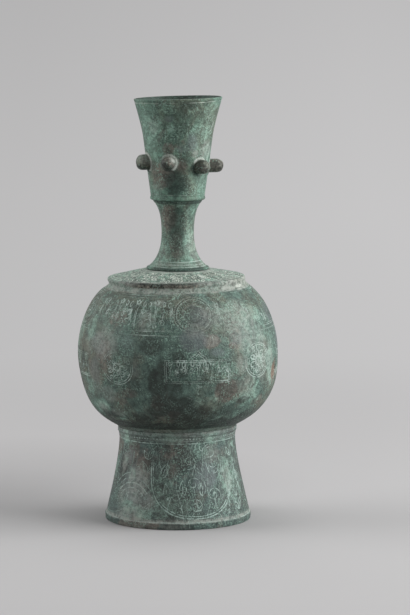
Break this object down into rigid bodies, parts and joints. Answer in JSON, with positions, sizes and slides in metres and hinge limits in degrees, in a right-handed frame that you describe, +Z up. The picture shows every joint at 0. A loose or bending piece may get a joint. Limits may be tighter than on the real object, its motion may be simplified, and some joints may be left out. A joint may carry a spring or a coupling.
{
  "type": "bottle",
  "caption": "Bronze bottle with a flared hollow foot, round body, coned shoulder plate, waisted neck and a flared mouth cup ringed with studs.",
  "frame": {"origin": "centre of the standing edge of the foot, on the surface that the bottle stands on", "axes": "+Z up along the bottle's axis, -Y towards the side that the picture shows, +X to its right"},
  "size_m": [0.1362, 0.1362, 0.2884],
  "materials": {
    "foot_bronze": "dark grey-green patina, engraved",
    "body_bronze": "mottled green and brown patina, engraved",
    "shoulder_bronze": "pale green patina with a brown band",
    "neck_bronze": "green patina",
    "cup_bronze": "green patina",
    "stud_bronze": "dark brown patina",
    "solder": "dull soft solder"
  },
  "bodies": {
    "root": {"foot": "foot_bronze", "body_bowl": "body_bronze", "shoulder_plate": "shoulder_bronze", "neck": "neck_bronze", "mouth_cup": "cup_bronze", "stud_1": "stud_bronze", "stud_2": "stud_bronze", "stud_3": "stud_bronze", "stud_4": "stud_bronze", "stud_5": "stud_bronze", "stud_6": "stud_bronze", "foot_solder": "solder", "shoulder_solder": "solder", "neck_solder": "solder", "cup_solder": "solder"}
  },
  "joints": []
}
